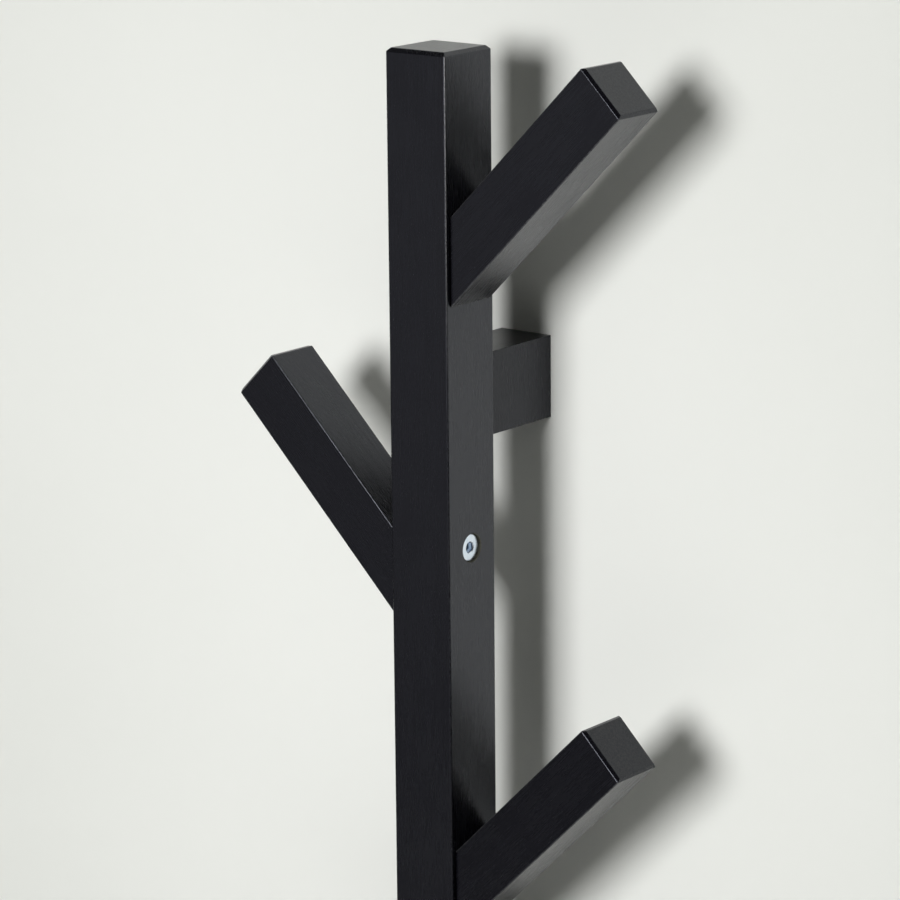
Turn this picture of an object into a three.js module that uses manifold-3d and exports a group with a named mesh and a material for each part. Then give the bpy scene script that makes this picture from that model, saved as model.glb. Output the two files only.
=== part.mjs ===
// A floor-standing coat rack in black-painted solid wood: a square post with slanting pegs that alternate
// right and left, a block that ties it to the wall behind, and a low cross foot on four glides.
// Millimetres. +Z is up, +X runs along the wall and +Y points to the wall.
// The origin is on the floor under the post's axis.
import * as THREE from 'three';
import { mergeVertices } from 'three/addons/utils/BufferGeometryUtils.js';
import Module from 'manifold-3d';

const wasm = await Module();
wasm.setup();

// Driving dimensions
const TOTAL_HEIGHT = 1900;
const POST_SIDE = 45;
const END_CHAMFER = 2.4; // around the ends of the post and of the foot's bars
const JOINT_GAP = 0.3;

const PEG_COUNT = 6;
const PEG_SIDE = 38.5;
const PEG_CHAMFER = 1.8;
const PEG_LENGTH = 158; // along the peg's axis, from the post's face to the free end
const PEG_ANGLE = Math.PI / 4; // between the peg and the post
const FIRST_PEG_DROP = 126; // from the post's top down to where the first peg's axis meets the post's face
const PEG_PITCH = 198.5;

const SPACER_WIDTH = 38.5;
const SPACER_DEPTH = 62; // from the post's back to the wall
const SPACER_HEIGHT = 52;
const SPACER_DROP = 213.6; // from the post's top down to the spacer's middle

const FOOT_BAR_SIDE = 45;
const FOOT_WIDTH = 420;
const FOOT_FRONT_REACH = POST_SIDE / 2 + SPACER_DEPTH;
const FOOT_BACK_REACH = 67.5; // stops short of the wall, to clear a skirting board
const GLIDE_HEIGHT = 5;
const GLIDE_RADIUS = 11;
const GLIDE_EDGE = 0.8;
const GLIDE_PIN_RADIUS = 1.5;
const GLIDE_PIN_LENGTH = 11;
const GLIDE_INSET = 22.5; // from a bar's end to the glide's middle

// Fasteners: M8 flat-head connecting bolts in threaded sleeves, and 8 mm dowels that stop each joint turning
const BOLT = { radius: 4, length: 60, headRadius: 8.5, headThickness: 3, rim: 0.6 };
const HEX_ACROSS = 6;
const HEX_DEPTH = 5;
const BOLT_BORE_RADIUS = 4.4;
const COUNTERBORE_RADIUS = 8.9;
const PEG_BOLT_RECESS = 1.8; // from the post's face to the bolt's head
const PEG_BOLT_RISE = 19; // above the peg's axis at the joint, where the mitred end holds most wood
const PEG_DOWEL_DROP = 5;
const SPACER_BOLT_RECESS = 19;
const SPACER_BOLT_DROP = 13;
const SPACER_DOWEL_RISE = 13;
const FOOT_BOLT_RECESS = 4;
const FOOT_DOWEL_OFFSET = 11;
const INSERT = { radius: 5.5, bore: 4.35, length: 15, sunk: 1, chamfer: 0.7 };
const INSERT_HOLE_RADIUS = 5.85;
const DOWEL = { radius: 4, length: 25, chamfer: 1 };
const DOWEL_HOLE_RADIUS = 4.35;
const TIP_CHAMFER = 1;
const BOLT_END_CLEARANCE = 1;

// Steel keyhole plate let into the wall side of the spacer, with two countersunk screws
const PLATE = { width: 30, height: 22, thickness: 2, cornerRadius: 3, rise: 11 };
const PLATE_RECESS_DEPTH = 2.5;
const PLATE_HOLE_DROP = 4;
const PLATE_HOLE_RADIUS = 4.5;
const PLATE_SLOT_HALF_WIDTH = 2.4;
const PLATE_SLOT_RISE = 6;
const KEYHOLE_POCKET_RADIUS = 5.8;
const KEYHOLE_POCKET_DEPTH = 6;
const SCREW = { spread: 10.5, radius: 1.5, headRadius: 3, headHeight: 1.6, length: 12, pointLength: 3 };
const SCREW_CLEARANCE = 0.3;

const ROUND_SIDES = 24; // around bolt heads, their recesses and the glides
const HIDDEN_SIDES = 16; // around the bores, sleeves and dowels inside the joints
const CUT_MARGIN = 1; // how far a cutting tool runs past the face that it cuts
const MITRE_STOCK = 40; // extra peg length that the mitre cut removes

// Looks
const BLACK_PAINT = { color: 0x1c1c1e, roughness: 0.42, metalness: 0 };
const ZINC_STEEL = { color: 0xd5d9dc, roughness: 0.28, metalness: 1 };
const BEECH = { color: 0xc9a273, roughness: 0.7, metalness: 0 };
const GREY_PLASTIC = { color: 0x3a3a3c, roughness: 0.6, metalness: 0 };

const half = POST_SIDE / 2;
const footTop = GLIDE_HEIGHT + FOOT_BAR_SIDE;
const spacerZ = TOTAL_HEIGHT - SPACER_DROP;
const wallY = half + SPACER_DEPTH;

function toSolid(geometry) {
  const bare = geometry.clone();
  bare.deleteAttribute('normal');
  bare.deleteAttribute('uv');
  const merged = mergeVertices(bare, 1e-4);
  const mesh = new wasm.Mesh({
    numProp: 3,
    vertProperties: new Float32Array(merged.attributes.position.array),
    triVerts: new Uint32Array(merged.index.array),
  });
  return new wasm.Manifold(mesh);
}

function toGeometry(solid) {
  const mesh = solid.getMesh();
  const geometry = new THREE.BufferGeometry();
  geometry.setAttribute('position', new THREE.BufferAttribute(new Float32Array(mesh.vertProperties), 3));
  geometry.setIndex(new THREE.BufferAttribute(new Uint32Array(mesh.triVerts), 1));
  geometry.computeVertexNormals();
  return geometry;
}

function cut(geometry, tools) {
  let solid = toSolid(geometry);
  for (const tool of tools) {
    solid = solid.subtract(toSolid(tool));
  }
  return toGeometry(solid);
}

function piece(name, geometry, look) {
  const mesh = new THREE.Mesh(geometry, new THREE.MeshStandardMaterial({ ...look, flatShading: true }));
  mesh.name = name;
  return mesh;
}

// A block between two opposite corners
function block(low, high) {
  const size = high.map((value, axis) => value - low[axis]);
  const middle = high.map((value, axis) => (value + low[axis]) / 2);
  return new THREE.BoxGeometry(...size).translate(...middle);
}

// A square bar along +Z from z = 0, with the edges around both its ends chamfered
function chamferedBar(side, length, chamfer) {
  const corner = side / 2;
  const section = new THREE.Shape([
    new THREE.Vector2(-corner, -corner),
    new THREE.Vector2(corner, -corner),
    new THREE.Vector2(corner, corner),
    new THREE.Vector2(-corner, corner),
  ]);
  const bar = new THREE.ExtrudeGeometry(section, {
    depth: length - 2 * chamfer,
    bevelThickness: chamfer,
    bevelSize: chamfer,
    bevelOffset: -chamfer,
    bevelSegments: 1,
  });
  return bar.translate(0, 0, chamfer);
}

// A round cutting tool between two points
function cylinder(radius, from, to, sides = HIDDEN_SIDES) {
  const start = new THREE.Vector3(...from);
  const end = new THREE.Vector3(...to);
  const along = end.clone().sub(start);
  const length = along.length();
  const turn = new THREE.Quaternion().setFromUnitVectors(new THREE.Vector3(0, 1, 0), along.normalize());
  const middle = start.add(end).multiplyScalar(0.5);
  return new THREE.CylinderGeometry(radius, radius, length, sides)
    .applyQuaternion(turn)
    .translate(middle.x, middle.y, middle.z);
}

// A turned piece along +X, from a list of [distance along the axis, radius]
function turned(profile, sides = HIDDEN_SIDES) {
  const points = profile.map(([along, radius]) => new THREE.Vector2(radius, along));
  return new THREE.LatheGeometry(points, sides).rotateZ(-Math.PI / 2);
}

// A connecting bolt along +X, with its head's outer face at x = 0
function boltGeometry() {
  const shoulder = BOLT.headThickness;
  const tip = shoulder + BOLT.length;
  const profile = [
    [0, 0],
    [0, BOLT.headRadius - BOLT.rim],
    [BOLT.rim, BOLT.headRadius],
    [shoulder, BOLT.headRadius],
    [shoulder, BOLT.radius],
    [tip - TIP_CHAMFER, BOLT.radius],
    [tip, BOLT.radius - TIP_CHAMFER],
    [tip, 0],
  ];
  const hexRadius = HEX_ACROSS / Math.sqrt(3);
  const socket = new THREE.CylinderGeometry(hexRadius, hexRadius, HEX_DEPTH + CUT_MARGIN, 6)
    .rotateZ(-Math.PI / 2)
    .translate((HEX_DEPTH - CUT_MARGIN) / 2, 0, 0);
  return cut(turned(profile, ROUND_SIDES), [socket]);
}

// A threaded sleeve along +X, with its mouth at x = 0
function insertGeometry() {
  const { radius, bore, length, chamfer } = INSERT;
  return turned([
    [0, bore],
    [0, radius - chamfer],
    [chamfer, radius],
    [length - chamfer, radius],
    [length, radius - chamfer],
    [length, bore],
    [0, bore],
  ]);
}

// A dowel along X, centred on the origin
function dowelGeometry() {
  const { radius, length, chamfer } = DOWEL;
  return turned([
    [-length / 2, 0],
    [-length / 2, radius - chamfer],
    [chamfer - length / 2, radius],
    [length / 2 - chamfer, radius],
    [length / 2, radius - chamfer],
    [length / 2, 0],
  ]);
}

// A countersunk screw along +X, with its head's outer face at x = 0
function screwGeometry() {
  const { radius, headRadius, headHeight, length, pointLength } = SCREW;
  return turned([
    [0, 0],
    [0, headRadius],
    [headHeight, radius],
    [length - pointLength, radius],
    [length, 0],
  ]);
}

// The two tools that make room for a threaded sleeve and the end of its bolt. `inward` points into the wood.
function insertHoles(mouth, inward, boltReach) {
  const at = (depth) => mouth.map((value, axis) => value + inward[axis] * depth);
  return [
    cylinder(INSERT_HOLE_RADIUS, at(-CUT_MARGIN), at(INSERT.sunk + INSERT.length + JOINT_GAP)),
    cylinder(BOLT_BORE_RADIUS, at(-CUT_MARGIN), at(boltReach + BOLT_END_CLEARANCE)),
  ];
}

// A blind dowel hole. `inward` points into the wood.
function dowelHole(mouth, inward) {
  const depth = DOWEL.length / 2 + JOINT_GAP;
  const start = mouth.map((value, axis) => value - inward[axis] * CUT_MARGIN);
  const end = mouth.map((value, axis) => value + inward[axis] * depth);
  return cylinder(DOWEL_HOLE_RADIUS, start, end);
}

const pegPlaces = Array.from({ length: PEG_COUNT }, (_, index) => ({
  number: index + 1,
  side: index % 2 === 0 ? 1 : -1,
  sideName: index % 2 === 0 ? 'right' : 'left',
  z: TOTAL_HEIGHT - FIRST_PEG_DROP - index * PEG_PITCH,
}));

const pegBoltReach = BOLT.length + BOLT.headThickness + PEG_BOLT_RECESS - POST_SIDE;
const spacerBoltReach = BOLT.length + BOLT.headThickness + SPACER_BOLT_RECESS - SPACER_DEPTH;
const footBoltReach = BOLT.length + BOLT.headThickness + FOOT_BOLT_RECESS - FOOT_BAR_SIDE;
const footDowelPlaces = [
  { name: 'front', x: -FOOT_DOWEL_OFFSET, y: -FOOT_DOWEL_OFFSET },
  { name: 'back', x: FOOT_DOWEL_OFFSET, y: FOOT_DOWEL_OFFSET },
];

function post() {
  const base = footTop + JOINT_GAP;
  const bar = chamferedBar(POST_SIDE, TOTAL_HEIGHT - base + END_CHAMFER, END_CHAMFER)
    .translate(0, 0, base - END_CHAMFER);
  const reach = half + CUT_MARGIN;
  const tools = [block([-reach, -reach, base - 2 * END_CHAMFER], [reach, reach, base])];
  for (const { side, z } of pegPlaces) {
    const boltZ = z + PEG_BOLT_RISE;
    const shoulderX = -side * (half - PEG_BOLT_RECESS - BOLT.headThickness);
    tools.push(cylinder(BOLT_BORE_RADIUS, [-reach, 0, boltZ], [reach, 0, boltZ]));
    const floorX = shoulderX + side * JOINT_GAP;
    tools.push(cylinder(COUNTERBORE_RADIUS, [-side * reach, 0, boltZ], [floorX, 0, boltZ], ROUND_SIDES));
    tools.push(dowelHole([side * half, 0, z - PEG_DOWEL_DROP], [-side, 0, 0]));
  }
  tools.push(...insertHoles([0, half, spacerZ - SPACER_BOLT_DROP], [0, -1, 0], spacerBoltReach));
  tools.push(dowelHole([0, half, spacerZ + SPACER_DOWEL_RISE], [0, -1, 0]));
  tools.push(...insertHoles([0, 0, base], [0, 0, 1], footBoltReach));
  for (const { x, y } of footDowelPlaces) {
    tools.push(dowelHole([x, y, base], [0, 0, 1]));
  }
  return piece('post', cut(bar, tools), BLACK_PAINT);
}

// One peg with its bolt, sleeve and dowel, built to the right of the origin and then set on the post's face
function pegJoint({ number, side, sideName, z }) {
  const reach = PEG_SIDE + MITRE_STOCK;
  const bar = chamferedBar(PEG_SIDE, PEG_LENGTH + MITRE_STOCK, PEG_CHAMFER)
    .translate(0, 0, -MITRE_STOCK)
    .rotateY(PEG_ANGLE);
  const peg = cut(bar, [
    block([-reach, -reach, -reach], [JOINT_GAP, reach, reach]),
    ...insertHoles([0, 0, PEG_BOLT_RISE], [1, 0, 0], pegBoltReach),
    dowelHole([0, 0, -PEG_DOWEL_DROP], [1, 0, 0]),
  ]);
  const joint = new THREE.Group();
  const bolt = piece(`peg_${number}_bolt`, boltGeometry(), ZINC_STEEL);
  bolt.position.set(PEG_BOLT_RECESS - POST_SIDE, 0, PEG_BOLT_RISE);
  const insert = piece(`peg_${number}_insert`, insertGeometry(), ZINC_STEEL);
  insert.position.set(INSERT.sunk, 0, PEG_BOLT_RISE);
  const dowel = piece(`peg_${number}_dowel`, dowelGeometry(), BEECH);
  dowel.position.set(0, 0, -PEG_DOWEL_DROP);
  joint.add(piece(`peg_${number}_${sideName}`, peg, BLACK_PAINT), bolt, insert, dowel);
  joint.position.set(side * half, 0, z);
  joint.rotation.z = side > 0 ? 0 : Math.PI;
  return joint;
}

// The keyhole's outline: a round hole that a screw's head passes, with a slot above it
function keyholeOutline() {
  const outline = new THREE.Path();
  const join = Math.asin(PLATE_SLOT_HALF_WIDTH / PLATE_HOLE_RADIUS);
  outline.absarc(0, -PLATE_HOLE_DROP, PLATE_HOLE_RADIUS, Math.PI / 2 + join, Math.PI * 2.5 - join, false);
  outline.absarc(0, PLATE_SLOT_RISE, PLATE_SLOT_HALF_WIDTH, 0, Math.PI, false);
  outline.closePath();
  return outline;
}

function roundedRectangle(width, height, radius) {
  const x = width / 2 - radius;
  const y = height / 2 - radius;
  const outline = new THREE.Shape();
  outline.absarc(x, y, radius, 0, Math.PI / 2, false);
  outline.absarc(-x, y, radius, Math.PI / 2, Math.PI, false);
  outline.absarc(-x, -y, radius, Math.PI, Math.PI * 1.5, false);
  outline.absarc(x, -y, radius, Math.PI * 1.5, Math.PI * 2, false);
  outline.closePath();
  return outline;
}

// Turns a flat outline into a slab whose drawing plane faces the wall: +X stays, the drawing's up becomes +Z,
// and the slab reaches from `depth` inside the wall face out to `depth - thickness`.
function wallSlab(outline, thickness, depth, rise) {
  return new THREE.ExtrudeGeometry(outline, { depth: thickness, bevelEnabled: false, curveSegments: 6 })
    .rotateX(Math.PI / 2)
    .translate(0, wallY - depth + thickness, spacerZ + rise);
}

function spacer() {
  const front = half + JOINT_GAP;
  const x = SPACER_WIDTH / 2;
  const z = SPACER_HEIGHT / 2;
  const boltZ = spacerZ - SPACER_BOLT_DROP;
  const counterboreFloor = wallY - SPACER_BOLT_RECESS - BOLT.headThickness - JOINT_GAP;
  const recess = roundedRectangle(
    PLATE.width + 2 * JOINT_GAP,
    PLATE.height + 2 * JOINT_GAP,
    PLATE.cornerRadius,
  );
  const pocket = new THREE.Shape();
  pocket.absarc(0, -PLATE_HOLE_DROP, KEYHOLE_POCKET_RADIUS, Math.PI, Math.PI * 2, false);
  pocket.absarc(0, PLATE_SLOT_RISE - SCREW_CLEARANCE, KEYHOLE_POCKET_RADIUS, 0, Math.PI, false);
  pocket.closePath();
  const pocketFloor = PLATE_RECESS_DEPTH + KEYHOLE_POCKET_DEPTH;
  const screwEnd = wallY - PLATE_RECESS_DEPTH - SCREW.length;
  const tools = [
    cylinder(BOLT_BORE_RADIUS, [0, front - CUT_MARGIN, boltZ], [0, wallY + CUT_MARGIN, boltZ]),
    cylinder(COUNTERBORE_RADIUS, [0, counterboreFloor, boltZ], [0, wallY + CUT_MARGIN, boltZ], ROUND_SIDES),
    dowelHole([0, half, spacerZ + SPACER_DOWEL_RISE], [0, 1, 0]),
    wallSlab(recess, PLATE_RECESS_DEPTH + CUT_MARGIN, PLATE_RECESS_DEPTH, PLATE.rise),
    wallSlab(pocket, pocketFloor, pocketFloor, PLATE.rise),
    ...[-1, 1].map((way) => {
      const at = (y) => [way * SCREW.spread, y, spacerZ + PLATE.rise];
      return cylinder(SCREW.radius + SCREW_CLEARANCE, at(screwEnd), at(wallY));
    }),
  ];
  const body = block([-x, front, spacerZ - z], [x, wallY, spacerZ + z]);
  return piece('wall_spacer', cut(body, tools), BLACK_PAINT);
}

function keyholePlate() {
  const outline = roundedRectangle(PLATE.width, PLATE.height, PLATE.cornerRadius);
  outline.holes.push(keyholeOutline());
  const slab = wallSlab(outline, PLATE.thickness, PLATE_RECESS_DEPTH - JOINT_GAP, PLATE.rise);
  const outerY = wallY - PLATE_RECESS_DEPTH + JOINT_GAP + PLATE.thickness;
  const countersinks = [-1, 1].map((way) =>
    turned([
      [-CUT_MARGIN, 0],
      [-CUT_MARGIN, SCREW.headRadius + SCREW_CLEARANCE],
      [0, SCREW.headRadius + SCREW_CLEARANCE],
      [SCREW.headHeight, SCREW.radius + SCREW_CLEARANCE],
      [PLATE.thickness + CUT_MARGIN, SCREW.radius + SCREW_CLEARANCE],
      [PLATE.thickness + CUT_MARGIN, 0],
    ])
      .rotateZ(-Math.PI / 2)
      .translate(way * SCREW.spread, outerY, spacerZ + PLATE.rise),
  );
  return piece('keyhole_plate', cut(slab, countersinks), ZINC_STEEL);
}

// The pieces that fix the spacer to the post and the plate to the spacer all point away from the wall
function spacerFasteners() {
  const bolt = piece('spacer_bolt', boltGeometry(), ZINC_STEEL);
  bolt.position.set(0, wallY - SPACER_BOLT_RECESS, spacerZ - SPACER_BOLT_DROP);
  const insert = piece('spacer_insert', insertGeometry(), ZINC_STEEL);
  insert.position.set(0, half - INSERT.sunk, spacerZ - SPACER_BOLT_DROP);
  const dowel = piece('spacer_dowel', dowelGeometry(), BEECH);
  dowel.position.set(0, half, spacerZ + SPACER_DOWEL_RISE);
  const outerY = wallY - PLATE_RECESS_DEPTH + JOINT_GAP + PLATE.thickness;
  const screws = [['left', -1], ['right', 1]].map(([sideName, way]) => {
    const screw = piece(`keyhole_screw_${sideName}`, screwGeometry(), ZINC_STEEL);
    screw.position.set(way * SCREW.spread, outerY, spacerZ + PLATE.rise);
    return screw;
  });
  const pieces = [bolt, insert, dowel, ...screws];
  for (const fastener of pieces) {
    fastener.rotation.z = -Math.PI / 2;
  }
  return pieces;
}

// The cross foot: two bars halved over each other, the long one's half on top
function footBars() {
  const middleZ = GLIDE_HEIGHT + FOOT_BAR_SIDE / 2;
  const lap = FOOT_BAR_SIDE / 2 + JOINT_GAP;
  const wide = FOOT_BAR_SIDE;
  const boltBore = cylinder(BOLT_BORE_RADIUS, [0, 0, 0], [0, 0, footTop + CUT_MARGIN]);

  const longBar = chamferedBar(FOOT_BAR_SIDE, FOOT_WIDTH, END_CHAMFER)
    .translate(0, 0, -FOOT_WIDTH / 2)
    .rotateY(Math.PI / 2)
    .translate(0, 0, middleZ);
  const longTools = [
    block([-lap, -wide, 0], [lap, wide, middleZ + JOINT_GAP / 2]),
    boltBore,
    ...footDowelPlaces.map(({ x, y }) => dowelHole([x, y, footTop], [0, 0, -1])),
    ...glidePlaces.filter(({ y }) => y === 0).map(glideHole),
  ];

  const crossLength = FOOT_FRONT_REACH + FOOT_BACK_REACH;
  const crossBar = chamferedBar(FOOT_BAR_SIDE, crossLength, END_CHAMFER)
    .rotateX(-Math.PI / 2)
    .translate(0, -FOOT_FRONT_REACH, middleZ);
  const counterboreTop = GLIDE_HEIGHT + FOOT_BOLT_RECESS + BOLT.headThickness + JOINT_GAP;
  const crossTools = [
    block([-wide, -lap, middleZ - JOINT_GAP / 2], [wide, lap, footTop + CUT_MARGIN]),
    boltBore,
    cylinder(COUNTERBORE_RADIUS, [0, 0, 0], [0, 0, counterboreTop], ROUND_SIDES),
    ...glidePlaces.filter(({ y }) => y !== 0).map(glideHole),
  ];
  return [
    piece('foot_long_bar', cut(longBar, longTools), BLACK_PAINT),
    piece('foot_cross_bar', cut(crossBar, crossTools), BLACK_PAINT),
  ];
}

// The pieces that fix the foot to the post point straight up
function footFasteners() {
  const bolt = piece('foot_bolt', boltGeometry(), ZINC_STEEL);
  bolt.position.set(0, 0, GLIDE_HEIGHT + FOOT_BOLT_RECESS);
  const insert = piece('foot_insert', insertGeometry(), ZINC_STEEL);
  insert.position.set(0, 0, footTop + JOINT_GAP + INSERT.sunk);
  const dowels = footDowelPlaces.map(({ name, x, y }) => {
    const dowel = piece(`foot_dowel_${name}`, dowelGeometry(), BEECH);
    dowel.position.set(x, y, footTop + JOINT_GAP / 2);
    return dowel;
  });
  const pieces = [bolt, insert, ...dowels];
  for (const fastener of pieces) {
    fastener.rotation.y = -Math.PI / 2;
  }
  return pieces;
}

const glidePlaces = [
  { name: 'left', x: GLIDE_INSET - FOOT_WIDTH / 2, y: 0 },
  { name: 'right', x: FOOT_WIDTH / 2 - GLIDE_INSET, y: 0 },
  { name: 'front', x: 0, y: GLIDE_INSET - FOOT_FRONT_REACH },
  { name: 'back', x: 0, y: FOOT_BACK_REACH - GLIDE_INSET },
];

function glideHole({ x, y }) {
  const top = GLIDE_HEIGHT + GLIDE_PIN_LENGTH + JOINT_GAP;
  return cylinder(GLIDE_PIN_RADIUS + JOINT_GAP, [x, y, 0], [x, y, top]);
}

// A push-in glide: a round pad with a pin above it
function glide({ name, x, y }) {
  const padTop = GLIDE_HEIGHT - JOINT_GAP;
  const profile = [
    [0, 0],
    [0, GLIDE_RADIUS - GLIDE_EDGE],
    [GLIDE_EDGE, GLIDE_RADIUS],
    [padTop, GLIDE_RADIUS],
    [padTop, GLIDE_PIN_RADIUS],
    [GLIDE_HEIGHT + GLIDE_PIN_LENGTH - GLIDE_PIN_RADIUS, GLIDE_PIN_RADIUS],
    [GLIDE_HEIGHT + GLIDE_PIN_LENGTH, 0],
  ];
  const mesh = piece(`glide_${name}`, turned(profile, ROUND_SIDES), GREY_PLASTIC);
  mesh.position.set(x, y, 0);
  mesh.rotation.y = -Math.PI / 2;
  return mesh;
}

const coatRack = new THREE.Group();
coatRack.add(post());
coatRack.add(...pegPlaces.map(pegJoint));
coatRack.add(spacer(), keyholePlate(), ...spacerFasteners());
coatRack.add(...footBars(), ...footFasteners());
coatRack.add(...glidePlaces.map(glide));

export default coatRack;
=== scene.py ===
import math

import bmesh
import bpy
from mathutils import Matrix, Vector


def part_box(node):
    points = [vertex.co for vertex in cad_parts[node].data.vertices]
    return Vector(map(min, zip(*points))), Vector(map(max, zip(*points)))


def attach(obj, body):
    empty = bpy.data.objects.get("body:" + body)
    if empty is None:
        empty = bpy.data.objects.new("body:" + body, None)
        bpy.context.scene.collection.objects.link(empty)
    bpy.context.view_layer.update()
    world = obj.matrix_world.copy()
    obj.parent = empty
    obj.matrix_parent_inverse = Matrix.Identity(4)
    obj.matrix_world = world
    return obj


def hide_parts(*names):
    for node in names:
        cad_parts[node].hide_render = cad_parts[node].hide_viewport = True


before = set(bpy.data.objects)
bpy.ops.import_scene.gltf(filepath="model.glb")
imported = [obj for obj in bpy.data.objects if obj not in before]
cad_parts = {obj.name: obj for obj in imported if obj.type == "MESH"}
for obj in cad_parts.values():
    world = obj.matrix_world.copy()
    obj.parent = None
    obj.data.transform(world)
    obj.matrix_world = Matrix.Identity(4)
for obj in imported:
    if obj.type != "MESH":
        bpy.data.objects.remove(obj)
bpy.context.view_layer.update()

# Lengths are in metres: MM turns millimetres into them.
MM = 0.001

# Wood
PEG_COUNT = 6
END_CHAMFER = 2.4 * MM  # around the post's top and the ends of the foot's bars
PEG_CHAMFER = 1.8 * MM
EDGE_RADIUS = 1.2 * MM  # along the post, the spacer and the foot
PEG_EDGE_RADIUS = 0.8 * MM
CRISP_EDGE_SHARE = 0.4  # how much of that radius the chamfers' own edges get
JOINT_EDGE_SHARE = 0.15  # and the edges that meet another piece
EDGE_SEGMENTS = 4
PAINTED_GLINT_REACH = 200 * MM  # how far down the post's edges carry a painted highlight, the key light's glint
PEG_WEAR_AND_HIGHLIGHT = 0.6  # how far the long edges' paint is lightened: partly abraded paint, partly a painted highlight
POST_WEAR_AND_HIGHLIGHT = 0.15
PAINT_IOR = 1.6  # the pieces' paint differs a little in gloss
PEG_IOR = (1.55, 1.55, 1.45, 1.58, 1.52, 1.55)
SPACER_IOR = 1.44
PAINT_SEED = {"post": 0, "wall_spacer": 11, "foot_long_bar": 21, "foot_cross_bar": 22}  # pegs: their number
SEED_STEP = (1.37, 0.71, 0.43)  # from one seed's patch of grain to the next
MOUTH_CHAMFER = 0.25 * MM  # around a counterbore's mouth

# Fasteners and their holes, as in the solids that they replace
HEAD_RADIUS = 8.5 * MM
HEAD_THICKNESS = 3.0 * MM
RIM_RADIUS = 0.6 * MM
SHANK_RADIUS = 4.0 * MM
THREAD_PITCH = 1.25 * MM
BOLT_TIP = 1.0 * MM  # the chamfer at the shank's end
HEX_ACROSS = 6.0 * MM
HEX_DEPTH = 5.0 * MM
HEX_POINT = 1.2 * MM  # the pointed floor under the hexagon
HEX_MOUTH = 0.3 * MM  # the countersink around the hexagon's mouth
BORE_RADIUS = 4.4 * MM
COUNTERBORE_RADIUS = 8.9 * MM
COUNTERBORE_CLEARANCE = 0.3 * MM
INSERT_HOLE_RADIUS = 5.85 * MM
DOWEL_HOLE_RADIUS = 4.35 * MM
HOLE_CLEARANCE = 0.3 * MM
SCREW_HOLE_RADIUS = 1.8 * MM
GLIDE_HOLE_RADIUS = 1.8 * MM
PLATE_CORNER_RADIUS = 3.0 * MM
POCKET_RADIUS = 5.8 * MM  # the room for the wall screw's head, behind the keyhole
POCKET_DEPTH = 8.5 * MM
POCKET_BELOW = 4.0 * MM  # its round ends' centres, from the plate's middle
POCKET_ABOVE = 5.7 * MM
PAST = 1.0 * MM  # how far a cutter runs past the face that it cuts
FLOOR_CLEARANCE = 0.01 * MM  # keeps the glides inside the solids' box
SLIVER = 0.002 * MM  # points this close together are one point
CUT_FACES = 1  # a cutter's material index, for the second material of the piece that it cuts

ROUND_SIDES = 64
HIDDEN_SIDES = 32
ROUND_END_STEPS = 16
SHARP_ABOVE = math.radians(34)  # steeper edges aren't shaded smooth
LONG_EDGE_SHARE = 1.2  # a bar's long edges are longer than this many times its width,
LONG_EDGE_ANGLE = 1.0  # and turn by more than this many radians

PEG_ANGLE = math.radians(45)
ORIGIN = Vector((0, 0, 0))
RIGHT, UP, TO_WALL = Vector((1, 0, 0)), Vector((0, 0, 1)), Vector((0, 1, 0))


# ---------------------------------------------------------------- materials


def new_tree(name):
    material = bpy.data.materials.new(name)
    material.use_nodes = True
    tree = material.node_tree
    tree.nodes.clear()
    return material, tree


def add(tree, kind, inputs=None, **settings):
    """A new node. Each input is a plain value or another node's output."""
    node = tree.nodes.new(kind)
    for name, value in settings.items():
        setattr(node, name, value)
    for name, value in (inputs or {}).items():
        if isinstance(value, bpy.types.NodeSocket):
            tree.links.new(value, node.inputs[name])
        else:
            node.inputs[name].default_value = value
    return node


def math_node(tree, operation, a, b=None, clamp=False):
    inputs = {0: a} if b is None else {0: a, 1: b}
    return add(tree, "ShaderNodeMath", inputs, operation=operation, use_clamp=clamp).outputs[0]


def remap(tree, value, low, high, to_low=0, to_high=1):
    inputs = {"Value": value, "From Min": low, "From Max": high, "To Min": to_low, "To Max": to_high}
    return add(tree, "ShaderNodeMapRange", inputs, clamp=True).outputs[0]


def blend_colours(tree, factor, a, b):
    inputs = {0: factor, 6: a, 7: b}
    return add(tree, "ShaderNodeMix", inputs, data_type="RGBA").outputs[2]


def blend_values(tree, factor, a, b):
    inputs = {0: factor, 2: a, 3: b}
    return add(tree, "ShaderNodeMix", inputs).outputs[0]


def object_coordinates(tree, stretch=(1, 1, 1), shift=(0, 0, 0)):
    coordinates = add(tree, "ShaderNodeTexCoord").outputs["Object"]
    inputs = {"Vector": coordinates, "Scale": stretch, "Location": shift}
    return add(tree, "ShaderNodeMapping", inputs).outputs[0]


def noise(tree, vector, scale, detail=2.0, roughness=0.5, distortion=0.0):
    inputs = {
        "Vector": vector,
        "Scale": scale,
        "Detail": detail,
        "Roughness": roughness,
        "Distortion": distortion,
    }
    return add(tree, "ShaderNodeTexNoise", inputs).outputs["Fac"]


def bump(tree, height, strength, distance, normal=None):
    inputs = {"Height": height, "Strength": strength, "Distance": distance}
    if normal is not None:
        inputs["Normal"] = normal
    return add(tree, "ShaderNodeBump", inputs).outputs[0]


def surface(tree, inputs):
    shader = add(tree, "ShaderNodeBsdfPrincipled", inputs)
    add(tree, "ShaderNodeOutputMaterial", {0: shader.outputs[0]})


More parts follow.
